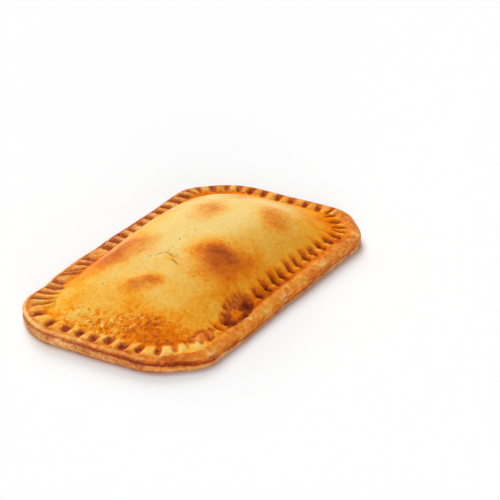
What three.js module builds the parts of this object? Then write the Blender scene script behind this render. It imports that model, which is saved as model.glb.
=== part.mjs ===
// A whole baked empanada: a filled turnover of bread dough, rectangular with cut corners.
// A rolled base sheet and a lid enclose the filling, and a fork has pressed them together all round
// the rim. It is uncut, so it is one solid piece, with the seam and the fork marks as relief.
// Millimetres, +Z up, +X along the length, origin under the middle of the flat underside.
import * as THREE from "three";

// Driving dimensions
const LENGTH = 165;
const WIDTH = 95;
const HEIGHT = 25;
const CORNER_CUT = 18; // along each side of the square corner that was cut away
const RIM_THICKNESS = 6.2; // both sheets together, where the fork hasn't pressed
const FOOT_INSET = 9.6; // from the outline to where the lid starts to rise

// The corners of the outline, counter-clockwise: how far the hand moved each one, and the length of
// its rounding along the edges that meet there
const CORNERS = [
  { x: LENGTH / 2, y: -WIDTH / 2 + CORNER_CUT, moved: [0, 0], rounding: 9 },
  { x: LENGTH / 2, y: WIDTH / 2 - CORNER_CUT, moved: [-1.5, -1], rounding: 11 },
  { x: LENGTH / 2 - CORNER_CUT, y: WIDTH / 2, moved: [0.5, -0.5], rounding: 7 },
  { x: -LENGTH / 2 + CORNER_CUT, y: WIDTH / 2, moved: [0, 0], rounding: 12 },
  { x: -LENGTH / 2, y: WIDTH / 2 - CORNER_CUT, moved: [0, -0.5], rounding: 12 },
  { x: -LENGTH / 2, y: -WIDTH / 2 + CORNER_CUT, moved: [0, 0.5], rounding: 10 },
  { x: -LENGTH / 2 + CORNER_CUT, y: -WIDTH / 2, moved: [-1, 0.5], rounding: 8 },
  { x: LENGTH / 2 - CORNER_CUT, y: -WIDTH / 2, moved: [0, 0], rounding: 9 },
];

// Slow waves of the edge, and two places where it is dented in or bulges out
const EDGE_WAVES = [
  { turns: 5, height: 0.2, phase: 0.6 },
  { turns: 11, height: 0.14, phase: 2.1 },
  { turns: 19, height: 0.1, phase: 4.0 },
];
const EDGE_DENTS = [
  { x: -50, y: WIDTH / 2, depth: 1.4, reach: 8 },
  { x: -22, y: WIDTH / 2, depth: -0.6, reach: 12 },
];

// The rim's edge from the underside to its top, as [inset, height] pairs, with the seam between the sheets
const EDGE_PROFILE = [
  [1.5, 0],
  [0.4, 0.6],
  [0, 1.6],
  [0.15, 2.6],
  [0.85, 3.0],
  [0.3, 3.4],
  [0.05, 4.4],
  [0.5, 5.5],
  [1.7, 6.2],
];

// Fork marks
const MARKS_ON_END = 8;
const MARKS_ON_CORNER = 3;
const MARKS_ON_SIDE = 20;
const FORK_TINES = 4;
const MARK_WIDTH = 4.6;
const MARK_FLOOR = 4.0; // height of a mark's bottom above the underside
const MARK_DEPTH = 2.6; // the most a mark sinks below the dough beside it
const MARK_START = 2.9; // inset of a mark's outer end
const MARK_END = 10.6; // inset of a mark's inner end, in the foot of the lid
const MARK_END_ON_CORNER = 12.6;
const MARK_RUN_OUT = 1.5;
const RIDGE_RISE = 0.35; // dough squeezed up between the marks
const PLACE_SPREAD = 0.5; // how far a mark strays along the rim, each way
const SLANT_SPREAD = 0.16; // sideways shift for each millimetre inwards, each way
const DEPTH_SPREAD = 0.25;
// Odd presses, near these points of the rim: the fork turned, missed, or pushed further in
const ODD_PRESSES = [
  { x: -39, y: WIDTH / 2, reach: 7, mark: { slant: -0.7, depth: 0.85 } },
  { x: -53, y: -WIDTH / 2, reach: 4.5, mark: { slant: 0.45 } },
  { x: -44, y: -WIDTH / 2, reach: 3.6, mark: { depth: 0 } },
  { x: -34, y: -WIDTH / 2, reach: 6.5, mark: { depth: 1.2, end: 12.4 } },
];

// The lid over the filling
const PEAK_X = 8;
const NEAR_END_POWER = 2.3; // fullness towards -X
const FAR_END_POWER = 2; // fullness towards +X
const ACROSS_POWER = 3;
const CORNER_POWER = 8;
// Soft swellings where the filling lifts the lid: place, half sizes along and across, height and turn
const SWELLINGS = [
  { x: -44, y: 0.5, long: 10, wide: 5, height: 1.2, turn: -0.55 },
  { x: -26, y: 19, long: 13, wide: 6, height: 0.9, turn: -0.4 },
  { x: -14, y: -14.5, long: 12, wide: 9, height: 1.0, turn: -0.3 },
  { x: 18, y: 6, long: 9, wide: 6, height: 0.6, turn: 0.2 },
  { x: 34, y: -17, long: 13, wide: 8, height: 0.9, turn: 0.5 },
  { x: 48, y: 9, long: 10, wide: 7, height: 0.7, turn: -0.6 },
];

// Mesh fineness: columns round the rim from one fork mark to the next, and where the rings lie
const FINE = 8;
const PLAIN = 2;
const SPARSE = 1;
const CRIMP_INSETS = [2.4, 3.8, 6.2, 8.8, 10.6, 12.4];
const OUTER_LID_SHARES = [0.06, 0.13, 0.21, 0.3, 0.4]; // shares of the way from the foot to the middle
const INNER_LID_SHARES = [0.5, 0.6, 0.7, 0.8, 0.9];

// A repeatable stand-in for chance, from -1 to 1
function scatter(index, kind) {
  const wave = Math.sin(index * 12.9898 + kind * 78.233) * 43758.5453;
  return 2 * (wave - Math.floor(wave)) - 1;
}

function smoothStep(from, to, value) {
  return THREE.MathUtils.smoothstep(value, from, to);
}

// The outline seen from above: straight edges with a rounding at each of the eight corners
function makeOutline() {
  const corners = CORNERS.map((c) => new THREE.Vector2(c.x + c.moved[0], c.y + c.moved[1]));
  const path = new THREE.Path();
  corners.forEach((corner, i) => {
    const rounding = CORNERS[i].rounding;
    const towards = (other) => corner.clone().add(other.clone().sub(corner).setLength(rounding));
    const start = towards(corners.at(i - 1));
    const end = towards(corners[(i + 1) % corners.length]);
    if (i === 0) path.moveTo(start.x, start.y);
    else path.lineTo(start.x, start.y);
    path.quadraticCurveTo(corner.x, corner.y, end.x, end.y);
  });
  path.closePath();
  return path;
}

const outline = makeOutline();
const perimeter = outline.getLength();

// The point of the outline nearest to a place, as a distance along the outline
function nearestAlong(place) {
  const steps = 2000;
  let nearest = 0;
  let least = Infinity;
  for (let i = 0; i < steps; i++) {
    const gap = outline.getPoint(i / steps).distanceTo(place);
    if (gap < least) {
      least = gap;
      nearest = (i / steps) * perimeter;
    }
  }
  return nearest;
}

// The shorter way round from one distance along the outline to another
function wayRound(from, to) {
  const turns = (to - from) / perimeter;
  return (turns - Math.round(turns)) * perimeter;
}

const dents = EDGE_DENTS.map((dent) => ({ ...dent, along: nearestAlong(dent) }));

// How far the hand-shaped edge lies inside the true outline
function handShaping(along) {
  const turn = (2 * Math.PI * along) / perimeter;
  const waves = EDGE_WAVES.reduce((sum, w) => sum + w.height * Math.sin(w.turns * turn + w.phase), 0);
  return dents.reduce((sum, d) => sum + d.depth * Math.exp(-((wayRound(d.along, along) / d.reach) ** 2)), waves);
}

// One entry for each fork mark: its place along the outline, its slant, its depth and its inner end
function makeMarks() {
  const lengths = outline.getCurveLengths(); // up to the end of each rounding and each straight, in turn
  const middleOfRounding = (i) => (lengths[2 * i] + (i > 0 ? lengths[2 * i - 1] : 0)) / 2;
  const counts = [MARKS_ON_END, MARKS_ON_CORNER, MARKS_ON_SIDE, MARKS_ON_CORNER];
  const marks = [];
  for (let edge = 0; edge < CORNERS.length; edge++) {
    const start = middleOfRounding(edge);
    const end = edge + 1 < CORNERS.length ? middleOfRounding(edge + 1) : perimeter + middleOfRounding(0);
    const count = counts[edge % counts.length];
    for (let k = 0; k < count; k++) {
      const index = marks.length;
      const press = Math.floor(index / FORK_TINES);
      marks.push({
        along: start + ((k + 0.5) / count) * (end - start) + PLACE_SPREAD * scatter(index, 1),
        slant: SLANT_SPREAD * scatter(press, 2),
        depth: 1 + DEPTH_SPREAD * (0.6 * scatter(press, 3) + 0.4 * scatter(index, 4)),
        end: edge % 2 === 1 ? MARK_END_ON_CORNER : MARK_END,
      });
    }
  }
  for (const odd of ODD_PRESSES) {
    const centre = nearestAlong(odd);
    marks
      .filter((mark) => Math.abs(wayRound(centre, mark.along)) < odd.reach)
      .forEach((mark) => Object.assign(mark, odd.mark));
  }
  return marks;
}

const marks = makeMarks();

// How fully the fork has pressed a place of the rim, from 0 to about 1
function pressed(along, inset) {
  const middle = (MARK_START + MARK_END) / 2;
  return marks.reduce((most, mark) => {
    const aside = Math.abs(wayRound(mark.along + mark.slant * (inset - middle), along));
    if (aside > MARK_WIDTH / 2) return most;
    const across = 1 - smoothStep(0.15 * MARK_WIDTH, 0.5 * MARK_WIDTH, aside);
    const inner = 1 - smoothStep(mark.end - MARK_RUN_OUT, mark.end, inset);
    return Math.max(most, mark.depth * across * inner);
  }, 0);
}

function swelling(x, y) {
  return SWELLINGS.reduce((sum, s) => {
    const offset = new THREE.Vector2(x - s.x, y - s.y).rotateAround(new THREE.Vector2(), -s.turn);
    return sum + s.height * Math.exp(-((offset.x / s.long) ** 2) - (offset.y / s.wide) ** 2);
  }, 0);
}

// Height of the lid above the rim: a low pillow that dies away at the foot on all eight sides
function lidRise(x, y) {
  const halfLong = LENGTH / 2 - FOOT_INSET;
  const halfWide = WIDTH / 2 - FOOT_INSET;
  const halfCorner = LENGTH / 2 + WIDTH / 2 - CORNER_CUT - FOOT_INSET * Math.SQRT2;
  const left = (share, power) => Math.max(0, 1 - Math.abs(share) ** power);
  const along =
    x < PEAK_X
      ? left((PEAK_X - x) / (PEAK_X + halfLong), NEAR_END_POWER)
      : left((x - PEAK_X) / (halfLong - PEAK_X), FAR_END_POWER);
  const pillow =
    along *
    left(y / halfWide, ACROSS_POWER) *
    left((Math.abs(x) + Math.abs(y)) / halfCorner, CORNER_POWER);
  return pillow * (HEIGHT - RIM_THICKNESS) + Math.sqrt(pillow) * swelling(x, y);
}

// A place on the rim, from its distance along the outline and its inset
function rimPlace(along, inset) {
  const share = along / perimeter - Math.floor(along / perimeter);
  const tangent = outline.getTangent(share);
  const inwards = new THREE.Vector2(-tangent.y, tangent.x);
  return outline.getPoint(share).addScaledVector(inwards, inset + handShaping(along));
}

function edgePoint(along, [inset, height]) {
  const place = rimPlace(along, inset);
  return new THREE.Vector3(place.x, place.y, height);
}

// A point of the crimped band: the free surface, sunk under the fork and squeezed up beside it
function crimpPoint(along, inset) {
  const place = rimPlace(along, inset);
  const free = RIM_THICKNESS + lidRise(place.x, place.y);
  const press = pressed(along, inset);
  const fromLip = smoothStep(MARK_START - MARK_RUN_OUT / 2, MARK_START + MARK_RUN_OUT / 2, inset);
  const toFoot = 1 - smoothStep(MARK_END - MARK_RUN_OUT, MARK_END, inset);
  const sunk = Math.min(free - MARK_FLOOR, MARK_DEPTH) * press * fromLip;
  const squeezed = RIDGE_RISE * fromLip * toFoot * Math.max(0, 1 - press);
  return new THREE.Vector3(place.x, place.y, free - sunk + squeezed);
}

function lidPoint(along, share) {
  const place = rimPlace(along, CRIMP_INSETS.at(-1)).multiplyScalar(1 - share);
  return new THREE.Vector3(place.x, place.y, RIM_THICKNESS + lidRise(place.x, place.y));
}

// Columns round the rim, a set number from each fork mark to the next
function columnsRound(perMark) {
  return marks.flatMap((mark, i) => {
    const gap = wayRound(mark.along, marks[(i + 1) % marks.length].along);
    return Array.from({ length: perMark }, (_, j) => mark.along + (gap * j) / perMark);
  });
}

// Rings of points from the middle of the underside, up the rim, over the fork marks and onto the lid
function makeRings() {
  const fine = columnsRound(FINE);
  const plain = columnsRound(PLAIN);
  const sparse = columnsRound(SPARSE);
  return [
    [new THREE.Vector3(0, 0, 0)],
    ...EDGE_PROFILE.map((step) => plain.map((along) => edgePoint(along, step))),
    ...CRIMP_INSETS.map((inset) => fine.map((along) => crimpPoint(along, inset))),
    ...OUTER_LID_SHARES.map((share) => plain.map((along) => lidPoint(along, share))),
    ...INNER_LID_SHARES.map((share) => sparse.map((along) => lidPoint(along, share))),
    [lidPoint(0, 1)],
  ];
}

// Triangles between neighbouring rings, where one may have a whole number of times the other's points
function stitch(lower, upper, lowerStart, upperStart) {
  const steps = Math.max(lower.length, upper.length);
  const at = (ring, start, k) => start + (Math.round((k * ring.length) / steps) % ring.length);
  const faces = [];
  for (let i = 0; i < steps; i++) {
    const [a, b] = [at(lower, lowerStart, i), at(lower, lowerStart, i + 1)];
    const [c, d] = [at(upper, upperStart, i), at(upper, upperStart, i + 1)];
    if (a !== b) faces.push(a, b, d);
    if (c !== d) faces.push(a, d, c);
  }
  return faces;
}

function makeGeometry() {
  const rings = makeRings();
  const starts = rings.map((_, i) => rings.slice(0, i).reduce((sum, ring) => sum + ring.length, 0));
  const faces = [];
  for (let i = 0; i + 1 < rings.length; i++) {
    faces.push(...stitch(rings[i], rings[i + 1], starts[i], starts[i + 1]));
  }
  const geometry = new THREE.BufferGeometry().setFromPoints(rings.flat());
  geometry.setIndex(faces);
  geometry.computeBoundingBox();
  const middle = geometry.boundingBox.getCenter(new THREE.Vector3());
  geometry.translate(-middle.x, -middle.y, 0);
  geometry.computeVertexNormals();
  return geometry;
}

const bakedDough = new THREE.MeshStandardMaterial({ color: 0xdf9f4a, roughness: 0.45, metalness: 0 });

const empanada = new THREE.Mesh(makeGeometry(), bakedDough);
empanada.name = "empanada";

const part = new THREE.Group();
part.add(empanada);
export default part;
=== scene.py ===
import math

import bmesh
import bpy
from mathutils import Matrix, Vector, kdtree, noise


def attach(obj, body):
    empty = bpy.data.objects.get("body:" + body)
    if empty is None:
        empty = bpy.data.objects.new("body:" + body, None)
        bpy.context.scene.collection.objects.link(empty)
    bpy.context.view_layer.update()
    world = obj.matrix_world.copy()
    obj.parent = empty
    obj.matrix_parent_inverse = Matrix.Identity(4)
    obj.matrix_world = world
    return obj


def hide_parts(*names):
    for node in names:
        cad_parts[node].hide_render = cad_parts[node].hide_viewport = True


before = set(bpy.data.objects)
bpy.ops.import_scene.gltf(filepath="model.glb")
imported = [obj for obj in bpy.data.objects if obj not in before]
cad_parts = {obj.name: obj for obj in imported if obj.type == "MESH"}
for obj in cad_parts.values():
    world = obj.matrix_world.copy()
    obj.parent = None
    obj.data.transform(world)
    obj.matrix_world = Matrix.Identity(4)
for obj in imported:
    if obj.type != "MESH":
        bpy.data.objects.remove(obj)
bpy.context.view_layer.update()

# The outline of the empanada, seen from above. Two rolled sheets of bread dough are cut to a rectangle
# with its corners taken off, and the hand that lifted it onto the tray left the edge a little uneven.
# Sizes are in millimetres, and the finished mesh is scaled to metres.
LENGTH = 165
WIDTH = 95
CORNER_CUT = 18
CORNERS = [  # x, y, how far the hand moved the corner in x and y, length of its rounding
    (LENGTH / 2, -WIDTH / 2 + CORNER_CUT, 0, 0, 9),
    (LENGTH / 2, WIDTH / 2 - CORNER_CUT, -1.5, -1, 11),
    (LENGTH / 2 - CORNER_CUT, WIDTH / 2, 0.5, -0.5, 7),
    (-LENGTH / 2 + CORNER_CUT, WIDTH / 2, 0, 0, 12),
    (-LENGTH / 2, WIDTH / 2 - CORNER_CUT, 0, -0.5, 12),
    (-LENGTH / 2, -WIDTH / 2 + CORNER_CUT, 0, 0.5, 10),
    (-LENGTH / 2 + CORNER_CUT, -WIDTH / 2, -1, 0.5, 8),
    (LENGTH / 2 - CORNER_CUT, -WIDTH / 2, 0, 0, 9),
]
EDGE_WAVES = [(5, 0.2, 0.6), (11, 0.14, 2.1), (19, 0.1, 4.0)]  # turns, height, phase
EDGE_DENTS = [(-50, WIDTH / 2, 1.4, 8), (-22, WIDTH / 2, -0.6, 12)]  # x, y, depth, reach
ROUNDING_STEPS = 40
STEPS = 1880  # places round the finished outline, a quarter of a millimetre apart


def smooth_step(low, high, value):
    share = min(max((value - low) / (high - low), 0), 1)
    return share * share * (3 - 2 * share)


corner_places = [Vector((x + moved_x, y + moved_y)) for x, y, moved_x, moved_y, _ in CORNERS]
rough_outline = []
for i, corner in enumerate(corner_places):
    rounding = CORNERS[i][-1]
    start = corner + (corner_places[i - 1] - corner).normalized() * rounding
    end = corner + (corner_places[(i + 1) % len(CORNERS)] - corner).normalized() * rounding
    for k in range(ROUNDING_STEPS + 1):
        share = k / ROUNDING_STEPS
        rough_outline.append(start.lerp(corner, share).lerp(corner.lerp(end, share), share))
distances = [0]
for i, point in enumerate(rough_outline):
    distances.append(distances[-1] + (rough_outline[(i + 1) % len(rough_outline)] - point).length)
perimeter = distances[-1]
# How far along the outline the middle of each rounding is.
bends = [distances[(ROUNDING_STEPS + 1) * i + ROUNDING_STEPS // 2] for i in range(len(CORNERS))]

outline = []
k = 0
for i in range(STEPS):
    along = i * perimeter / STEPS
    while distances[k + 1] < along:
        k += 1
    share = (along - distances[k]) / (distances[k + 1] - distances[k])
    outline.append(rough_outline[k].lerp(rough_outline[(k + 1) % len(rough_outline)], share))
forwards = [(outline[(i + 1) % STEPS] - outline[i - 1]).normalized() for i in range(STEPS)]
outline_tree = kdtree.KDTree(STEPS)
for i, point in enumerate(outline):
    outline_tree.insert((point.x, point.y, 0), i)
outline_tree.balance()


def way_round(start, end):
    """The shorter way along the outline from one place to another, less than 0 if backwards."""
    turns = (end - start) / perimeter
    return (turns - round(turns)) * perimeter


def nearest_along(x, y):
    return outline_tree.find((x, y, 0))[1] * perimeter / STEPS


def round_rim(values):
    """A value at each step of the outline, changing evenly between the places where it is given."""
    places = sorted((nearest_along(x, y), value) for x, y, value in values)
    first_along, first_value = places[0]
    last_along, last_value = places[-1]
    places = [(last_along - perimeter, last_value), *places, (first_along + perimeter, first_value)]
    steps = []
    k = 0
    for i in range(STEPS):
        along = i * perimeter / STEPS
        while places[k + 1][0] < along:
            k += 1
        share = (along - places[k][0]) / (places[k + 1][0] - places[k][0])
        steps.append(places[k][1] + share * (places[k + 1][1] - places[k][1]))
    return steps


def step_of(along):
    return round(along / perimeter * STEPS) % STEPS


def hand_shaping(along):
    turn = 2 * math.pi * along / perimeter
    inset = sum(height * math.sin(turns * turn + phase) for turns, height, phase in EDGE_WAVES)
    for x, y, depth, reach in EDGE_DENTS:
        inset += depth * math.exp(-((way_round(nearest_along(x, y), along) / reach) ** 2))
    return inset


shaping = [hand_shaping(i * perimeter / STEPS) for i in range(STEPS)]


def rim_place(along, inset):
    step = along / perimeter * STEPS
    i = math.floor(step) % STEPS
    j = (i + 1) % STEPS
    share = step - math.floor(step)
    forward = forwards[i].lerp(forwards[j], share).normalized()
    inset += shaping[i] + (shaping[j] - shaping[i]) * share
    return outline[i].lerp(outline[j], share) + Vector((-forward.y, forward.x)) * inset


def rim_coordinates(x, y):
    """How far along the outline a place is, and how far inside the hand-shaped edge."""
    i = outline_tree.find((x, y, 0))[1]
    offset = Vector((x, y)) - outline[i]
    along = i * perimeter / STEPS + offset.dot(forwards[i])
    return along, forwards[i].x * offset.y - forwards[i].y * offset.x - shaping[i]


edge_points = [rim_place(i * perimeter / STEPS, 0) for i in range(STEPS)]
middle = Vector(
    (
        (max(p.x for p in edge_points) + min(p.x for p in edge_points)) / 2,
        (max(p.y for p in edge_points) + min(p.y for p in edge_points)) / 2,
    )
)

# The fork marks round the rim. A table fork sealed the two sheets, press after press, so the marks come
# in fours that share a slant and a depth. Round the near end the fork was lifted and turned more often.
RIM_THICKNESS = 6.2
FORK_HOLDS = {
    # Inwards from a mark's place: where it starts, is deepest from and to and ends, where it is dark from
    # and to, and then how dark its outline is.
    "tips": (-6.6, -4.8, -1.6, 2.4, -4.4, -0.6, 0),
    "heel": (-0.9, 0.7, 3.3, 8.0, 0.0, 5.6, 0),
    "drawn": (-0.9, 0.7, 6.5, 12.0, 0.0, 8.0, 0),
    "flat": (-3.6, -1.8, 1.2, 5.0, -2.2, 2.4, 0.3),
}
RIM_EDGES = [  # edge, the part of it from and to, how many marks, inset, their width, how the fork was held
    (0, 0, 1, 8, 8.5, 4.4, "tips"),
    (1, 0, 1, 3, 2.9, 4.0, "heel"),
    (2, 0, 0.58, 11, 2.9, 4.0, "heel"),
    (6, 0.39, 1, 12, 9.4, 4.4, "flat"),
    (7, 0, 1, 3, 9.4, 4.0, "flat"),
]
SINGLE_MARKS = [  # x, y, depth, width, slant, how the fork was held
    (-20.4, 44.8, 0.9, 4.4, 0, "heel"),
    (-26.1, 44.4, 0.8, 4.0, -0.3, "heel"),
    (-34, 42.8, 0.7, 2.6, -1.1, "heel"),
    (-38.2, 44.2, 0.9, 3.2, -0.9, "heel"),
    (-44.7, 44.1, 1.0, 4.8, 0, "heel"),
    (-50.2, 43.6, 0.95, 4.4, 0, "drawn"),
    (-55.7, 43.3, 0.95, 4.2, 0, "drawn"),
    (-61.4, 42.1, 0.95, 4.6, 0.1, "drawn"),
    (-66.8, 38.8, 1.05, 4.6, -0.2, "drawn"),
    (-69.8, 30.4, 1.0, 5.6, 0, "tips"),
    (-73.1, 22.4, 0.85, 5.6, 0, "tips"),
    (-73.3, 14.9, 0.95, 6.0, 0, "tips"),
    (-73.9, 7.4, 0.85, 5.4, 0.1, "tips"),
    (-74.4, 0.7, 0.9, 5.8, 0, "tips"),
    (-72.9, -5.8, 1.0, 6.2, 0, "tips"),
    (-73.9, -13.4, 0.9, 6.0, 0, "tips"),
    (-72.6, -20.2, 0.95, 6.0, 0.1, "tips"),
    (-70.3, -26.2, 1.0, 5.8, 0.1, "tips"),
    (-66.3, -30.6, 0.55, 3.8, 0, "tips"),
    (-61.6, -33.4, 0.4, 2.8, 0, "tips"),
    (-52.4, -38, 0.7, 2.2, 0.7, "flat"),
    (-44.6, -38.5, 0.5, 3.0, 0, "flat"),
    (-39.8, -38.8, 0.3, 2.6, 0.3, "flat"),
    (-20.4, -38.4, 1.0, 4.8, 0.5, "flat"),
]
LIFTED = [  # x, y, half sizes along and across, turn, crispness
    (-29, -37.8, 11, 4.4, 0.1, 2),  # the hollow where the fork was lifted and pressed in again
    (-54.4, -37.2, 7.0, 3.3, -0.19, 2),  # the lump that it pushed up at the near corner
    (-31.2, -39, 5.0, 2.6, 0.3, 2),  # the knob of dough left in the hollow
]
FORK_TINES = 4
MARK_FLOOR = 3.6  # the least dough left under a mark
MARK_DEPTH = 1.2
MARKS_END = 14  # no mark reaches further in than this
RIDGE_RISE = 0.8
RIDGE_FADE = 3
PLACE_CHANCE = 0.4
INSET_CHANCE = 0.3
PRESS_SLANT = 0.14
TINE_SLANT = 0.06
USUAL_DEPTH = 0.9
DEPTH_CHANCE = 0.125
WIDTH_CHANCE = 0.16
FULL_STAIN_DEPTH = 0.8
LIP_CLEAR = (3.5, 5)  # insets between which a cut begins behind the lip


def scatter(index, kind):
    """A repeatable stand-in for chance, from -1 to 1."""
    wave = math.sin(index * 12.9898 + kind * 78.233) * 43758.5453
    return 2 * (wave - math.floor(wave)) - 1


marks = []
for edge, begin, finish, count, inset, width, hold in RIM_EDGES:
    first = bends[edge]
    last = bends[edge + 1] if edge + 1 < len(bends) else perimeter + bends[0]
    for k in range(count):
        index = len(marks)
        press = index // FORK_TINES
        share = begin + (k + 0.5) / count * (finish - begin)
        marks.append(
            {
                "along": first + share * (last - first) + PLACE_CHANCE * scatter(index, 1),
                "inset": inset + INSET_CHANCE * scatter(index, 6),
                "slant": PRESS_SLANT * scatter(press, 2) + TINE_SLANT * scatter(index, 7),
                "depth": USUAL_DEPTH + DEPTH_CHANCE * (scatter(press, 3) + scatter(index, 4)),
                "width": width * (1 + WIDTH_CHANCE * scatter(index, 5)),
                "hold": FORK_HOLDS[hold],
            }
        )
for x, y, depth, width, slant, hold in SINGLE_MARKS:
    along, inset = rim_coordinates(x, y)
    mark = {"along": along, "inset": inset, "slant": slant, "depth": depth, "width": width}
    marks.append({**mark, "hold": FORK_HOLDS[hold]})


def fork_pressing(along, inset):
    """How deep the fork pressed a place of the rim, how dark it baked there, how far up a ridge it is."""
    press = stain = 0
    behind = ahead = nearest = perimeter
    for mark in marks:
        inward = inset - mark["inset"]
        way = way_round(mark["along"] + mark["slant"] * inward, along)
        begins, deep, shallow, ends, dark, pale, outlined = mark["hold"]
        if abs(way) < nearest:
            nearest = abs(way)
            ridge = smooth_step(begins, deep, inward) * smooth_step(ends, ends - RIDGE_FADE, inward)
        if way < 0:
            ahead = min(ahead, -way)
        else:
            behind = min(behind, way)
        aside = 2 * abs(way) / mark["width"]
        if aside < 1.2:
            sunk = smooth_step(begins, deep, inward) * smooth_step(ends, shallow, inward)
            press = max(press, mark["depth"] * sunk * smooth_step(1, 0.2, aside))
            browned = smooth_step(dark - 0.8, dark + 0.8, inward)
            browned *= smooth_step(pale + 1.8, pale - 1, inward) * smooth_step(1, 0.4, aside)
            round_it = outlined * sunk * smooth_step(0.5, 0.75, aside) * smooth_step(1.1, 0.9, aside)
            stain = max(stain, min(1, mark["depth"] / FULL_STAIN_DEPTH) * max(browned, round_it))
    ridge *= 4 * ahead * behind / (ahead + behind) ** 2
    return press, stain, ridge


def soft_patch(x, y, patch_x, patch_y, long, wide, turn, crispness=1):
    """1 in the middle of an elliptical patch, falling away to 0."""
    dx = x - patch_x
    dy = y - patch_y
    along = dx * math.cos(turn) + dy * math.sin(turn)
    across = dy * math.cos(turn) - dx * math.sin(turn)
    return math.exp(-(((along / long) ** 2 + (across / wide) ** 2) ** crispness))


def lifted_dough(x, y, inset):
    """How far a place is in the hollow, on the lump, on the knob, and in a broken cut round one of them."""
    at = Vector((x, y, 0))
    x += 1.2 * noise.noise(at / 3)
    y += noise.noise(at / 3 + Vector((3, 1, 5)))
    parts = [soft_patch(x, y, *lifted) for lifted in LIFTED]
    cut_round = max(smooth_step(0.08, 0.3, part) * smooth_step(0.95, 0.6, part) for part in parts)
    cut_round *= smooth_step(-0.35, 0.2, noise.noise(at / 2.6 + Vector((8, 8, 2))))
    return *parts, cut_round * smooth_step(*LIP_CLEAR, inset)


# The lid over the filling. The upper sheet lies over a low heap of filling and dies away into the rim on
# all sides, and soft swellings show where the filling or steam lifts it.
HEIGHT = 25
FOOT_INSET = 9.6
PEAK_X = 8
NEAR_END_POWER = 2.3
FAR_END_POWER = 2
ACROSS_POWER = 3
CORNER_POWER = 8
SWELLINGS = [  # x, y, half sizes along and across, turn, height
    (-45, 0.4, 8.5, 4, -1.02, 1.4),
    (-26, 19, 13, 6, -0.4, 0.9),
    (-14, -14.5, 12, 9, -0.3, 1.0),
    (18, 6, 9, 6, 0.2, 0.6),
    (34, -17, 13, 8, 0.5, 0.9),
    (48, 9, 10, 7, -0.6, 0.7),
]


def lid_rise(x, y):
    """How far the lid rises above the rim."""
    half_long = LENGTH / 2 - FOOT_INSET
    half_wide = WIDTH / 2 - FOOT_INSET
    half_corner = LENGTH / 2 + WIDTH / 2 - CORNER_CUT - FOOT_INSET * math.sqrt(2)
    if x < PEAK_X:
        pillow = max(0, 1 - ((PEAK_X - x) / (PEAK_X + half_long)) ** NEAR_END_POWER)
    else:
        pillow = max(0, 1 - ((x - PEAK_X) / (half_long - PEAK_X)) ** FAR_END_POWER)
    pillow *= max(0, 1 - (abs(y) / half_wide) ** ACROSS_POWER)
    pillow *= max(0, 1 - ((abs(x) + abs(y)) / half_corner) ** CORNER_POWER)
    swelling = sum(rise * soft_patch(x, y, *patch) for *patch, rise in SWELLINGS)
    return pillow * (HEIGHT - RIM_THICKNESS) + math.sqrt(pillow) * swelling


# The skin of the lid. Steam left a small split with a raised pale flap beside it and a few pin holes, and
# the egg wash that ran down to the near end dried there in fine glossy wrinkles.
SPLIT = [  # from x and y to x and y, half width: the thin broken line of the split
    (-29.1, 5.5, -28.6, 4.1, 0.26),
    (-27.7, 3.3, -24.4, 0.5, 0.24),
    (-24.2, -0.4, -23.9, -1.4, 0.42),
    (-24.5, -2.4, -25.7, -5.0, 0.46),
    (-25.4, -5.3, -24.6, -6.0, 0.44),
    (-27.4, -5.4, -29.1, -8.8, 0.5),
]
PIN_HOLES = [
    (-63.3, 12.7),
    (-22.2, -0.5),
    (-19.3, -0.4),
    (-12.8, 0.2),
    (-10.3, -0.4),
    (-57, -6.5),
    (-49.3, 14.9),
    (-50.7, -5.4),
    (-31.2, -18.4),
    (-26, -20),
    (-3.2, -1.7),
    (22, 4),
    (31, 12),
    (40, -6),
]
PIN_HOLE_RADII = (0.2, 0.8)  # of its bottom and of its edge
SPLIT_HALO = (-25.8, -4.2, 5.5, 1.8, 1.1)  # x, y, half sizes, turn: the skin that browned beside the split
FLAP = (-19, -4, 7, 5, 0.6)  # x, y, half sizes, turn
FLAP_RISE = 0.35
WRINKLE_LONG = 3.4
WRINKLE_WIDE = 1.35
WRINKLE_WAY = (0.51, -0.86)  # the direction that the wrinkles run in
GLAZE_EDGE = -57  # the egg wash has run together from here to the near end
GLAZE_FADE = 11


def split_depth(x, y):
    """How far a place lies in the split or a pin hole, from 0 to 1."""
    depth = 0
    for ax, ay, bx, by, gape in SPLIT:
        share = ((x - ax) * (bx - ax) + (y - ay) * (by - ay)) / ((bx - ax) ** 2 + (by - ay) ** 2)
        share = min(max(share, 0), 1)
        apart = math.hypot(x - ax - share * (bx - ax), y - ay - share * (by - ay))
        depth = max(depth, 1 - smooth_step(0.4 * gape, 1.7 * gape, apart))
    for hole_x, hole_y in PIN_HOLES:
        depth = max(depth, 1 - smooth_step(*PIN_HOLE_RADII, math.hypot(x - hole_x, y - hole_y)))
    return depth


def wrinkles(x, y):
    """Worm-like wrinkles, 1 on their tops and 0 or less between them."""
    at = Vector((x, y, 0))
    way_x, way_y = WRINKLE_WAY
    along = (way_x * x + way_y * y) / WRINKLE_LONG + 0.5 * noise.noise(at / 5)
    across = (way_x * y - way_y * x) / WRINKLE_WIDE + 1.1 * noise.noise(at / 4 + Vector((9, 2, 4)))
    coarse = 1 - 3 * abs(noise.noise(Vector((along, across, 3))))
    fine = 1 - 3 * abs(noise.noise(Vector((along * 1.9, across * 1.9, 8))))
    return 0.65 * coarse + 0.35 * fine


def glaze(x, y):
    """How far the egg wash has run together, from 0 to 1."""
    edge = GLAZE_EDGE + 9 * smooth_step(0, -18, y) + 2.5 * noise.noise(Vector((x, y, 0)) / 5)
    return smooth_step(edge, edge - GLAZE_FADE, x)


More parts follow.
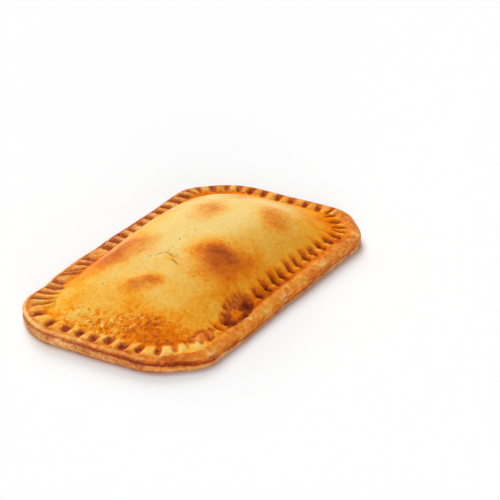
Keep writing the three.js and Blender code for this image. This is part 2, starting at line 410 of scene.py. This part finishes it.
# The baked crust itself, one closed piece: lid, rim, edge and underside. Brushed with egg on top, it is
# golden where it is thin-baked, browned on the swellings and slopes, and dark at the bottom of the marks.
BROWNED = [  # x, y, half sizes along and across, turn, crispness, how much more it is baked, how matt
    (-26.4, 16.4, 15.5, 9.5, -0.4, 1.8, 0.43, 0.75),
    (-44.4, -1.2, 8.2, 4.8, -1.02, 1.8, 0.34, 0.5),
    (-40.6, -4.6, 4.0, 3.2, -1.02, 1.5, 0.14, 0.2),
    # The next swelling is browned, and part of its darkness is a painted shadow.
    (-14.5, -17.8, 15, 11.5, -0.35, 1.2, 0.66, 0.45),
    # A painted shadow along the near side of the lid.
    (-14, -31, 13, 6, 0, 1.3, 0.06, 0),
    (18, 5, 12, 8, 0.2, 1.6, 0.48, 0.8),
    (-64, -17, 8, 13, 0, 1.2, 0.25, 0),
    (34, -17, 13, 8, 0.5, 1.4, 0.35, 0.5),
    (48, 9, 10, 6, -0.6, 1.4, 0.32, 0.6),
]
RIM_BAKING = round_rim(  # x, y, how far the ridges near there are baked
    [
        (LENGTH / 2, 0, 0.50),
        (40, WIDTH / 2, 0.52),
        (-30, WIDTH / 2, 0.53),
        (-56, WIDTH / 2, 0.5),
        (-70, 40, 0.45),
        (-LENGTH / 2, 25, 0.44),
        (-LENGTH / 2, -14, 0.44),
        (-74, -34, 0.24),
        (-62, -WIDTH / 2, 0.21),
        (-50, -WIDTH / 2, 0.46),
        (-40, -WIDTH / 2, 0.72),
        (-10, -WIDTH / 2, 0.72),
        (40, -WIDTH / 2, 0.52),
    ]
)
LIP_BAKING = round_rim(  # x, y, how far the lip near there is baked
    [
        (LENGTH / 2, 0, 0.66),
        (0, WIDTH / 2, 0.78),
        (-55, WIDTH / 2, 0.78),
        (-72, 38, 0.54),
        (-LENGTH / 2, 10, 0.58),
        (-LENGTH / 2, -16, 0.60),
        (-76, -36, 0.64),
        (-56, -WIDTH / 2, 0.44),
        (10, -WIDTH / 2, 0.43),
    ]
)
STAIN_BAKING = round_rim(  # x, y, how far the marks near there are baked
    [
        (LENGTH / 2, 0, 0.88),
        (20, WIDTH / 2, 0.72),
        (-45, WIDTH / 2, 0.72),
        (-62, 44, 0.66),
        (-LENGTH / 2, 20, 0.97),
        (-LENGTH / 2, -20, 0.98),
        (-70, -40, 0.86),
        (-40, -WIDTH / 2, 0.94),
    ]
)
MARK_DULLNESS = round_rim(  # x, y, how far the egg wash has gone matt in the marks near there
    [
        (LENGTH / 2, 0, 0.8),
        (0, WIDTH / 2, 1.3),
        (-60, WIDTH / 2, 1.3),
        (-LENGTH / 2, 10, 1.2),
        (-LENGTH / 2, -20, 1.1),
        (-70, -40, 1.0),
        (-44, -WIDTH / 2, 0.1),
        (40, -WIDTH / 2, 0.3),
    ]
)
LIP_WIDTHS = round_rim(  # x, y, how far in the lip reaches near there
    [
        (LENGTH / 2, 0, 2.8),
        (20, WIDTH / 2, 2.7),
        (-60, WIDTH / 2, 2.7),
        (-LENGTH / 2, 10, 3.0),
        (-LENGTH / 2, -20, 3.2),
        (-70, -40, 4.6),
        (-50, -WIDTH / 2, 5.2),
        (40, -WIDTH / 2, 5.2),
    ]
)
# Where the ridges have less wash they are paler and pinker, partly dough the wash missed and partly a
# painted sheen along the far side.
RIM_WASH_AND_SHEEN = round_rim(  # x, y, how much of the egg wash the ridges near there have
    [
        (LENGTH / 2, 0, 0.7),
        (0, WIDTH / 2, 0.4),
        (-50, WIDTH / 2, 0.5),
        (-72, 38, 0.75),
        (-LENGTH / 2, 10, 0.9),
        (-LENGTH / 2, -20, 0.85),
        (-70, -40, 1.0),
        (-40, -WIDTH / 2, 1.0),
        (20, -WIDTH / 2, 0.95),
    ]
)
PALE_TOP = (6, 4, 24, 14, 0)  # x, y, half sizes, turn: the palest part of the lid


def lid_baking(x, y):
    """How far a place of the lid is baked, and how far the egg wash has gone matt there."""
    at = Vector((x, y, 0))
    x += 2.5 * noise.noise(at / 9) + 1.2 * noise.noise(at / 3)
    y += 2.0 * noise.noise(at / 9 + Vector((5, 5, 5))) + 1.2 * noise.noise(at / 3 + Vector((2, 8, 6)))
    near_end = smooth_step(-20, -74, x)
    far_end = smooth_step(35, 74, x)
    near_slope = smooth_step(-8, -34, y)
    far_slope = smooth_step(12, 28, y)
    baking = 0.02 - 0.05 * soft_patch(x, y, *PALE_TOP)
    baking += (0.45 - 0.1 * smooth_step(0, 20, y)) * near_end
    baking += 0.3 * far_end
    baking += (0.16 + 0.2 * smooth_step(-50, -22, x)) * near_slope
    baking += (0.06 + 0.34 * smooth_step(-54, -36, x)) * far_slope
    matt = 0
    for *patch, more, patch_matt in BROWNED:
        browning = soft_patch(x, y, *patch)
        baking += more * browning
        matt = max(matt, patch_matt * browning)
    return baking, matt


crust = bmesh.new()
bmesh.ops.create_grid(crust, x_segments=340, y_segments=200, size=1)
along_layer = crust.verts.layers.float.new("along")
baking_layer = crust.verts.layers.float.new("baking")
split_colour_and_shade_layer = crust.verts.layers.float.new("torn")
washed_layer = crust.verts.layers.float.new("washed")
gloss_layer = crust.verts.layers.float.new("gloss")
matt_layer = crust.verts.layers.float.new("matt")

LIP_INSET = 1.1
LIP_FALL = round_rim(  # x, y, how far the top of the rim rounds down to the lip
    [
        (LENGTH / 2, 0, 0.4),
        (0, WIDTH / 2, 0.6),
        (-50, WIDTH / 2, 0.5),
        (-LENGTH / 2, 10, 0.1),
        (-LENGTH / 2, -16, 0.2),
        (-76, -36, 0.9),
        (-60, -WIDTH / 2, 1.6),
        (-30, -WIDTH / 2, 1.7),
        (40, -WIDTH / 2, 0.9),
    ]
)
LIP_ROUNDING = [1.2 + 1.8 * fall for fall in LIP_FALL]
LIP_BEAD = [0.3 * max(0, 1 - 1.5 * fall) for fall in LIP_FALL]
# The very edge of the lip is paler, partly paler dough and partly a painted highlight along the rounded
# edge.
LIP_PALENESS_AND_HIGHLIGHT = round_rim(  # x, y, how much paler the very edge of the lip is near there
    [
        (LENGTH / 2, 0, 0.2),
        (0, WIDTH / 2, 0.1),
        (-30, WIDTH / 2, 0.55),
        (-72, 38, 0.45),
        (-LENGTH / 2, 20, 0.22),
        (-LENGTH / 2, -16, 0.2),
        (-76, -36, 0.0),
        (40, -WIDTH / 2, 0.0),
    ]
)
# Where the rim, the lid and what lies on them begin and are complete, as insets from the edge.
RIM_FROM = (2, 3.5)
RIM_TO = (9, 13)
LID_FROM = (8, 16)
LID_COLOURS_FROM = (8.5, 12.5)
FULL_WASH_FROM = (7, 10)
GLAZE_FROM = (7, 11)
GLAZE_FOOT_TO = (11, 18)
WRINKLES_FROM = (5, 10)
PALE_AND_HIGHLIT_EDGE_TO = (2, 1.4)
LIP_BLEND = 1
BEAD_INSET = 1.5
BEAD_WIDTH = 0.7
HOLLOW_DEPTH = 0.9
LUMP_RISE = 0.5
KNOB_RISE = 0.9
CUT_DEPTH = 0.7
CUT_STAIN = 0.8
LID_SETTLING = 0.35
SPLIT_SINK = 0.15
LUMP_BAKING = 0.22
KNOB_PALENESS = 0.36
# How much paler the painted highlight patches along the lip are.
LIP_HIGHLIGHT_PALENESS = 0.42
SPLIT_HALO_BAKING = 0.17
ON_SIDE = 0.999999
# Across the width, where the glaze on the lid and on the rim is gone and all there, and where it is duller.
GLAZE_ACROSS = (30, 16)
RIM_GLAZE_ACROSS = (24, 10)
DULLER_ACROSS = (-4, -16)
# The corners of the square grid go to the middles of the four cut corners.
cuts = [(bends[i] + bends[i + 1]) / 2 for i in (1, 3, 5)] + [(bends[7] + perimeter + bends[0]) / 2]


def grid_along(u, v):
    """How far along the outline a place on the side of the square grid goes."""
    if u > ON_SIDE:
        return cuts[3] - perimeter + (v + 1) / 2 * (cuts[0] - cuts[3] + perimeter)
    if v > ON_SIDE:
        return cuts[0] + (1 - u) / 2 * (cuts[1] - cuts[0])
    if u < -ON_SIDE:
        return cuts[1] + (1 - v) / 2 * (cuts[2] - cuts[1])
    return cuts[2] + (u + 1) / 2 * (cuts[3] - cuts[2])


# The top: each place of the grid is laid inside the lip, raised, and given its baking and egg wash.
for vert in crust.verts:
    reach = max(abs(vert.co.x), abs(vert.co.y), 1e-9)
    along = grid_along(vert.co.x / reach, vert.co.y / reach)
    vert[along_layer] = along
    x, y = rim_place(along, LIP_INSET) * reach
    along, inset = rim_coordinates(x, y)
    step = step_of(along)
    at = Vector((x, y, 0))
    on_rim = smooth_step(*RIM_FROM, inset) * (1 - smooth_step(*RIM_TO, inset))
    on_lid = smooth_step(*LID_FROM, inset)
    lip_width = LIP_WIDTHS[step]
    on_lip = smooth_step(lip_width + LIP_BLEND, lip_width - LIP_BLEND, inset)
    hollow, lump, knob, cut_round = lifted_dough(x, y, inset)
    press, stain, ridge = fork_pressing(along, inset) if inset < MARKS_END else (0, 0, 0)
    stain = max(stain, CUT_STAIN * cut_round)
    glossy = glaze(x, y) * smooth_step(*GLAZE_FROM, inset) * smooth_step(*GLAZE_ACROSS, y)
    rim_gloss = 0.55 * ridge * on_rim * glaze(x, y) * smooth_step(*RIM_GLAZE_ACROSS, y)
    wrinkle = wrinkles(x, y)
    split = split_depth(x, y) * on_lid
    flap = FLAP_RISE * soft_patch(x, y, *FLAP)

    fall = LIP_FALL[step] * max(0, 1 - (inset - LIP_INSET) / LIP_ROUNDING[step]) ** 2
    free = RIM_THICKNESS + lid_rise(x, y) - HOLLOW_DEPTH * hollow - fall
    sunk = min(free - MARK_FLOOR, MARK_DEPTH) * press
    lumps = on_rim * (0.26 * noise.noise(at / 2.3) + 0.18 * noise.noise(at / 1.2))
    bead = LIP_BEAD[step] * math.exp(-(((inset - BEAD_INSET) / BEAD_WIDTH) ** 2))
    unevenness = 0.25 * noise.noise(at / 17) + 0.12 * noise.noise(at / 6 + Vector((7, 3, 1)))
    height = free - sunk + RIDGE_RISE * ridge + lumps + bead
    height += on_lid * (unevenness - LID_SETTLING + flap) - SPLIT_SINK * split
    height += (0.03 + 0.22 * glossy + 0.2 * hollow) * wrinkle * smooth_step(*WRINKLES_FROM, inset)
    height += LUMP_RISE * lump + KNOB_RISE * knob - CUT_DEPTH * cut_round
    vert.co = (x, y, height)

    # The paler lip edge: partly paler dough, partly a painted highlight.
    pale_edge_and_highlight = LIP_PALENESS_AND_HIGHLIGHT[step] * smooth_step(*PALE_AND_HIGHLIT_EDGE_TO, inset)
    # Pale, dull patches along the lip are painted highlights.
    lip_highlight_patches = on_lip * max(0, noise.noise(at / 4 + Vector((3, 6, 2))))
    rim_baking = RIM_BAKING[step] + (LIP_BAKING[step] - pale_edge_and_highlight - RIM_BAKING[step]) * on_lip
    # The ridge tops are painted paler and the flanks of the marks browner, partly painted highlight and
    # shade.
    rim_baking += 0.12 * noise.noise(at / 6) + 0.1 * noise.noise(at / 2) - 0.2 * (ridge - 0.4)
    rim_baking += (0.6 - 0.3 * ridge) * hollow + LUMP_BAKING * lump - KNOB_PALENESS * knob
    rim_baking -= LIP_HIGHLIGHT_PALENESS * lip_highlight_patches * (1 - pale_edge_and_highlight)
    top_baking, matt = lid_baking(x, y)
    top_baking += SPLIT_HALO_BAKING * soft_patch(x, y, *SPLIT_HALO) - 0.3 * flap
    top_baking += 0.1 * glossy * (1 - smooth_step(*GLAZE_FOOT_TO, inset))
    top_baking += 0.34 * hollow - KNOB_PALENESS * knob
    baking = rim_baking + (top_baking - rim_baking) * smooth_step(*LID_COLOURS_FROM, inset)
    stain *= min(1, 0.9 + 0.5 * noise.noise(at / 1.4))
    baking += (STAIN_BAKING[step] - baking) * stain
    # The tops of the wrinkles are painted a little paler and the creases darker, partly painted highlight
    # and shade.
    vert[baking_layer] = baking - (0.04 + 0.06 * glossy) * wrinkle * on_lid
    # The split and the pin holes are darkened in the colour, partly as painted shade inside them.
    vert[split_colour_and_shade_layer] = split

    # The painted highlight patches on the lip are duller as well as paler.
    matt = matt * on_lid + MARK_DULLNESS[step] * stain + (0.4 * on_lip + 1.1 * lip_highlight_patches) * (1 - stain)
    vert[matt_layer] = matt + 0.5 * hollow * (1 - knob) + 0.4 * lump
    unwashed = 1 - RIM_WASH_AND_SHEEN[step]
    dry = unwashed * (1 - smooth_step(*FULL_WASH_FROM, inset)) * (1 - 0.5 * stain)
    dry = max(dry, 1.4 * pale_edge_and_highlight, 1.5 * on_lip * unwashed * (1 - stain))
    vert[washed_layer] = 1 - dry * (1 - hollow)
    gloss = max(glossy, rim_gloss) * (1 - 0.5 * smooth_step(*DULLER_ACROSS, y)) * (1 - stain)
    vert[gloss_layer] = gloss + 0.18 * hollow + 0.2 * stain

# The cut edge of the two sheets, row under row from the lip to the tray, and the flat underside.
SEAM_HEIGHTS = round_rim(  # x, y, height of the seam between the two sheets
    [
        (LENGTH / 2, 0, 3.2),
        (20, WIDTH / 2, 3.4),
        (-60, WIDTH / 2, 4.0),
        (-LENGTH / 2, 25, 4.7),
        (-LENGTH / 2, -10, 4.3),
        (-76, -36, 3.0),
        (-60, -WIDTH / 2, 2.0),
        (-30, -WIDTH / 2, 1.4),
        (20, -WIDTH / 2, 2.0),
    ]
)
SIDE_BAKING = round_rim(  # x, y, how far the cut edge near there is baked
    [
        (LENGTH / 2, 0, 0.5),
        (0, WIDTH / 2, 0.55),
        (-LENGTH / 2, 25, 0.55),
        (-LENGTH / 2, -10, 0.59),
        (-79, -27, 0.84),
        (-73, -38, 0.76),
        (-56, -WIDTH / 2, 0.5),
        (-20, -WIDTH / 2, 0.50),
    ]
)
SEAM_SHADOWS = round_rim(  # x, y, how far above and below the seam the dough near there is dark
    [
        (LENGTH / 2, 0, 0.7),
        (0, WIDTH / 2, 0.7),
        (-LENGTH / 2, 0, 0.8),
        (-79, -27, 1.1),
        (-73, -38, 1.6),
        (-58, -WIDTH / 2, 1.2),
        (-30, -WIDTH / 2, 0.7),
    ]
)
SIDE_WASH = round_rim(  # x, y, how much of the egg wash ran down the cut edge near there
    [
        (LENGTH / 2, 0, 0.4),
        (0, WIDTH / 2, 0.3),
        (-LENGTH / 2, 25, 0.35),
        (-LENGTH / 2, -10, 0.45),
        (-76, -36, 0.8),
        (-56, -WIDTH / 2, 0.85),
        (10, -WIDTH / 2, 0.7),
    ]
)
EDGE_ROWS = [  # sheet, inset, part of the height between the sheet's bottom and its top
    ("upper", 0.55, 0.93),
    ("upper", 0.2, 0.8),
    ("upper", 0.06, 0.62),
    ("upper", 0.04, 0.44),
    ("upper", 0.08, 0.28),
    ("upper", 0.22, 0.13),
    ("upper", 0.7, 0.0),
    ("lower", 0.3, 0.9),
    ("lower", 0.1, 0.75),
    ("lower", 0.0, 0.5),
    ("lower", 0.2, 0.28),
    ("lower", 0.6, 0.12),
    ("lower", 1.5, 0.0),
]
CRUMBLING = {"upper": 0.35, "lower": 1}
SEAM_BAKING = 0.3
CRUMB_BAKING = 0.3
FOOT_TOASTING_AND_SHADE = 0.16
UNDERSIDE_INSET = 1.5
UNDERSIDE_RINGS = (0.9, 0.5, 0)  # the last one closes the middle
UNDERSIDE_BAKING = 0.6


def grown_row(edges):
    """The open edges of a row grown from these, each vertex with the values of the one it grew from."""
    grown = bmesh.ops.extrude_edge_only(crust, edges=edges)["geom"]
    return [part for part in grown if isinstance(part, bmesh.types.BMEdge) and part.is_boundary]


open_edges = [edge for edge in crust.edges if edge.is_boundary]
for sheet, inset, share in EDGE_ROWS:
    open_edges = grown_row(open_edges)
    for vert in {v for edge in open_edges for v in edge.verts}:
        along = vert[along_layer]
        step = step_of(along)
        place = rim_place(along, inset)
        at = Vector((place.x, place.y, 0))
        seam = SEAM_HEIGHTS[step] + 0.35 * noise.noise(at / 8)
        lip = RIM_THICKNESS - LIP_FALL[step]
        height = seam + share * (lip - seam) if sheet == "upper" else share * seam
        at.z = height * 2.5
        crumble = CRUMBLING[sheet] * smooth_step(0, 0.3, share) * smooth_step(1, 0.8, share)
        crumble *= 0.6 * abs(noise.noise(at / 2.2)) + 0.4 * abs(noise.noise(at))
        place = rim_place(along, inset + crumble + 0.1 * abs(noise.noise(at / 5)))
        vert.co = (place.x, place.y, height)

        wash = SIDE_WASH[step]
        seam_shadow = SEAM_SHADOWS[step]
        in_seam = 1 - smooth_step(0.1, seam_shadow, abs(height - seam))
        toasted = SIDE_BAKING[step] + 0.14 * noise.noise(at / 7) + 0.1 * noise.noise(at / 1.6)
        toasted += SEAM_BAKING * in_seam + CRUMB_BAKING * crumble
        if sheet == "upper":
            toasted += 0.2 * seam_shadow - 0.06
            toasted += (LIP_BAKING[step] + 0.08 - toasted) * smooth_step(0.65, 1, share)
            # The top of the cut edge is paler the same way, partly paler dough and partly the painted
            # highlight along the lip.
            toasted -= LIP_PALENESS_AND_HIGHLIGHT[step] * smooth_step(0.7, 0.9, share)
            vert[washed_layer] = min(1, wash + 0.25)
        else:
            toasted += 0.12 - 0.32 * seam_shadow
            vert[washed_layer] = 0.8 * wash
        toasted -= 0.45 * wash * max(0, noise.noise(at / 2.6 + Vector((4, 1, 7))))
        # The foot of the cut edge is darker, partly toasted on the tray and partly painted shade where it
        # meets the floor.
        vert[baking_layer] = toasted + FOOT_TOASTING_AND_SHADE * smooth_step(1.2, 0.2, height)
        vert[gloss_layer] = 0
for share in UNDERSIDE_RINGS:
    open_edges = grown_row(open_edges)
    for vert in {v for edge in open_edges for v in edge.verts}:
        place = rim_place(vert[along_layer], UNDERSIDE_INSET) * share
        vert.co = (place.x, place.y, 0)
        vert[baking_layer] = UNDERSIDE_BAKING
MILLIMETRE = 0.001
bmesh.ops.remove_doubles(crust, verts=crust.verts, dist=1e-4)
bmesh.ops.translate(crust, verts=crust.verts, vec=(-middle.x, -middle.y, 0))
bmesh.ops.scale(crust, verts=crust.verts, vec=(MILLIMETRE, MILLIMETRE, MILLIMETRE))
bmesh.ops.recalc_face_normals(crust, faces=crust.faces)

crust_mesh = bpy.data.meshes.new("baked_crust")
crust.to_mesh(crust_mesh)
crust.free()
crust_mesh.shade_smooth()
baked_crust = bpy.data.objects.new("baked_crust", crust_mesh)
bpy.context.scene.collection.objects.link(baked_crust)


class Shade:
    """One output of a material's nodes: arithmetic on it adds Math nodes, and node() adds any other."""

    def __init__(self, tree, socket=None):
        self.tree = tree
        self.socket = socket

    def node(self, kind, settings, inputs, output=0):
        made = self.tree.nodes.new(kind)
        for name, value in settings.items():
            if name == "stops":
                made.color_ramp.elements.remove(made.color_ramp.elements[1])
                made.color_ramp.elements[0].position = value[0][0]
                made.color_ramp.elements[0].color = value[0][1]
                for place, colour in value[1:]:
                    made.color_ramp.elements.new(place).color = colour
            else:
                setattr(made, name, value)
        for name, value in inputs.items():
            if isinstance(value, Shade):
                self.tree.links.new(value.socket, made.inputs[name])
            else:
                made.inputs[name].default_value = value
        return Shade(self.tree, made.outputs[output] if made.outputs else None)

    def math(self, operation, *values):
        return self.node("ShaderNodeMath", {"operation": operation}, dict(enumerate(values)))

    def __add__(self, other):
        return self.math("ADD", self, other)

    def __sub__(self, other):
        return self.math("SUBTRACT", self, other)

    def __rsub__(self, other):
        return self.math("SUBTRACT", other, self)

    def __mul__(self, other):
        return self.math("MULTIPLY", self, other)

    __radd__ = __add__
    __rmul__ = __mul__

    def between(self, low, high):
        """0 below low, 1 above high and smooth between."""
        limits = {"Value": self, "From Min": low, "From Max": high}
        return self.node("ShaderNodeMapRange", {"interpolation_type": "SMOOTHSTEP"}, limits)

    def towards(self, colour, share):
        """This colour, mixed with another."""
        return self.node(
            "ShaderNodeMix", {"data_type": "RGBA"}, {"Factor": share, "A": self, "B": colour}, "Result"
        )


def daylight(red, green, blue):
    """A colour as it looks, from 0 to 255, as the light it reflects."""
    shares = [c / 255 for c in (red, green, blue)]
    return *(((c + 0.055) / 1.055) ** 2.4 if c > 0.04 else c / 12.92 for c in shares), 1


SPECKS = daylight(222, 116, 24)
SPLIT_COLOUR_AND_SHADE = daylight(146, 98, 38)
# The pale colour of the flecks on the glaze is a painted glint.
PAINTED_GLINT_COLOUR = daylight(255, 220, 120)
WRINKLE_ANGLE = -59
WRINKLE_SIZE = (0.0027, 0.0018, 0.002)
dough = bpy.data.materials.new("baked_dough")
dough.use_nodes = True
dough.node_tree.nodes.clear()
start = Shade(dough.node_tree)
place = start.node("ShaderNodeTexCoord", {}, {}, "Object")


def grain(scale, detail):
    """Fine unevenness of the dough, around 0.5, at so many features a metre."""
    return start.node("ShaderNodeTexNoise", {}, {"Vector": place, "Scale": scale, "Detail": detail}, 0)


def amount(name):
    """A value that the mesh holds for each of its vertices."""
    return start.node("ShaderNodeAttribute", {"attribute_name": name}, {}, "Fac")


mottle = grain(620, 2)
cloud = grain(110, 2)
flecks = grain(1300, 2).between(0.52, 0.75)
wrinkle_place = start.node(
    "ShaderNodeMapping",
    {"vector_type": "TEXTURE"},
    {"Vector": place, "Rotation": (0, 0, math.radians(WRINKLE_ANGLE)), "Scale": WRINKLE_SIZE},
)
wrinkle = start.node("ShaderNodeTexNoise", {}, {"Vector": wrinkle_place, "Scale": 1, "Detail": 2}) - 0.5
wrinkle_tops = 1 - wrinkle.math("ABSOLUTE", wrinkle).between(0, 0.14)
crumb = grain(900, 2) - 0.5
blotch = grain(430, 1) - 0.5
strokes = grain(560, 3)
gloss = amount("gloss")
# Small blisters of the egg wash, raised in the relief. Their pale colour and lighter baking are painted
# glints.
blisters_and_painted_glints = strokes.between(0.57, 0.64) * gloss.between(0.25, 0.9) * cloud.between(0.38, 0.58)
bare = 1 - amount("washed")
baking = amount("baking") + (mottle - 0.5) * 0.3 + (cloud - 0.5) * 0.4 - flecks * 0.06
# On the glaze the wrinkle tops are painted paler and the creases darker, partly painted highlight and
# shade.
baking = baking - gloss * ((wrinkle_tops - 0.4) * 0.16 + blotch * 0.9 + blisters_and_painted_glints * 0.15)
baking = baking + bare * crumb * 1.1
washed_stops = [
    (0.00, daylight(247, 214, 132)),
    (0.12, daylight(247, 203, 108)),
    (0.25, daylight(252, 193, 82)),
    (0.38, daylight(253, 175, 49)),
    (0.48, daylight(250, 152, 27)),
    (0.60, daylight(239, 122, 8)),
    (0.75, daylight(205, 96, 16)),
    (0.90, daylight(162, 68, 16)),
    (1.00, daylight(130, 50, 12)),
]
washed = start.node("ShaderNodeValToRGB", {"stops": washed_stops}, {"Fac": baking})
dry_stops = [
    (0.20, daylight(252, 207, 154)),
    (0.45, daylight(226, 163, 104)),
    (0.70, daylight(190, 113, 70)),
    (0.85, daylight(170, 85, 67)),
    (1.00, daylight(138, 58, 50)),
]
dry = start.node("ShaderNodeValToRGB", {"stops": dry_stops}, {"Fac": baking})
colour = dry.towards(washed, amount("washed") * (1 - amount("matt") * 0.6))
pits = start.node("ShaderNodeTexVoronoi", {}, {"Vector": place, "Scale": 900}, "Distance")
specks = grain(800, 3).between(0.42, 0.75) * (0.15 + baking.between(0.1, 0.4) * 0.25)
colour = colour.towards(SPECKS, specks * (1 - bare))
# The split and the pin holes are painted dark, partly as shade inside them.
torn = amount("torn").between(0.1, 0.7) * (0.9 - pits.between(0.2, 0.55) * 0.6)
colour = colour.towards(SPLIT_COLOUR_AND_SHADE, torn)
# Painted glints: pale flecks mixed into the colour where the glaze would catch the light.
colour = colour.towards(PAINTED_GLINT_COLOUR, blisters_and_painted_glints * 0.8)
relief = (grain(1400, 3) + grain(420, 2) * 1.5) * (1.2 - gloss * 1.1 + bare * 0.8)
relief = relief + (wrinkle_tops + blotch * 2.5 + blisters_and_painted_glints * 1.5) * gloss
bumps = start.node("ShaderNodeBump", {}, {"Strength": 0.4, "Distance": 0.0004, "Height": relief})
crust_surface = start.node(
    "ShaderNodeBsdfPrincipled",
    {},
    {
        "Base Color": colour,
        "Roughness": 0.14 + bare * 0.5,
        "Specular IOR Level": 0.006,
        "Coat Weight": gloss * 0.15,
        "Coat Roughness": 0.15,
        "Normal": bumps,
    },
)
start.node("ShaderNodeOutputMaterial", {}, {"Surface": crust_surface})
crust_mesh.materials.append(dough)
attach(baked_crust, "root")
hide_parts("empanada")

# The floor: a plain white sheet under the empanada, as on a photographer's table.
# It only catches the soft shadow and isn't part of the object.
FLOOR_REACH = 4
sheet = bmesh.new()
bmesh.ops.create_grid(sheet, x_segments=1, y_segments=1, size=FLOOR_REACH)
sheet_mesh = bpy.data.meshes.new("white_floor")
sheet.to_mesh(sheet_mesh)
sheet.free()
white_floor = bpy.data.objects.new("white_floor", sheet_mesh)
bpy.context.scene.collection.objects.link(white_floor)
paper = bpy.data.materials.new("white_paper")
paper.use_nodes = True
paper.node_tree.nodes.clear()
start = Shade(paper.node_tree)
paper_surface = start.node(
    "ShaderNodeBsdfPrincipled",
    {},
    {"Base Color": (0.97, 0.97, 0.97, 1), "Roughness": 0.9, "Specular IOR Level": 0.0},
)
start.node("ShaderNodeOutputMaterial", {}, {"Surface": paper_surface})
sheet_mesh.materials.append(paper)

# The light: a broad softbox overhead, one behind that drops the shadow towards the viewer, a low one from
# the viewer's side for the cut edge, and a small lamp that only puts the shine on the egg wash. The room
# is dim and even, and it isn't mirrored in the crust.
ROOM_STRENGTH = 0.17
GLINT_COLOUR = (1, 0.85, 0.5)
room = bpy.data.worlds.new("room")
room.use_nodes = True
room.node_tree.nodes["Background"].inputs["Color"].default_value = (1, 1, 1, 1)
room.node_tree.nodes["Background"].inputs["Strength"].default_value = ROOM_STRENGTH
room.cycles_visibility.glossy = False
bpy.context.scene.world = room
LAMPS = [  # name, direction it shines from, strength, how broad it looks in degrees, what it acts on
    ("overhead", (0.2, 0.42, 0.89), 1.64, 40, "colour"),
    ("behind", (0.6, 0.55, 0.4), 2.2, 30, "colour"),
    ("front", (-0.8, -0.53, 0.13), 1.85, 30, "colour"),
    ("glint", (-0.02, 0.37, 0.93), 0.3, 8, "shine"),
]
for name, direction, strength, breadth, acts_on in LAMPS:
    lamp = bpy.data.lights.new(name, "SUN")
    lamp.energy = strength
    lamp.angle = math.radians(breadth)
    lamp.color = GLINT_COLOUR if acts_on == "shine" else (1, 1, 1)
    stand = bpy.data.objects.new(name, lamp)
    stand.rotation_euler = Vector(direction).to_track_quat("Z", "Y").to_euler()
    stand.visible_glossy = acts_on == "shine"
    stand.visible_diffuse = acts_on == "colour"
    bpy.context.scene.collection.objects.link(stand)
bpy.context.scene.view_settings.view_transform = "Standard"

# The camera: a long lens about a metre away, looking down on one corner of the empanada, which lies in
# the lower left of the picture.
AZIMUTH = math.radians(-59.19)
ELEVATION = math.radians(26.61)
DISTANCE = 1.0
AIM = Vector((0.03467, -0.00636, 0))
SENSOR_WIDTH = 36
FOCAL_LENGTH = 162.95
backwards = Vector(
    (
        math.sin(AZIMUTH) * math.cos(ELEVATION),
        -math.cos(AZIMUTH) * math.cos(ELEVATION),
        math.sin(ELEVATION),
    )
)
lens = bpy.data.cameras.new("camera")
lens.sensor_width = SENSOR_WIDTH
lens.lens = FOCAL_LENGTH
camera = bpy.data.objects.new("camera", lens)
camera.location = AIM + backwards * DISTANCE
camera.rotation_euler = backwards.to_track_quat("Z", "Y").to_euler()
bpy.context.scene.collection.objects.link(camera)
bpy.context.scene.camera = camera
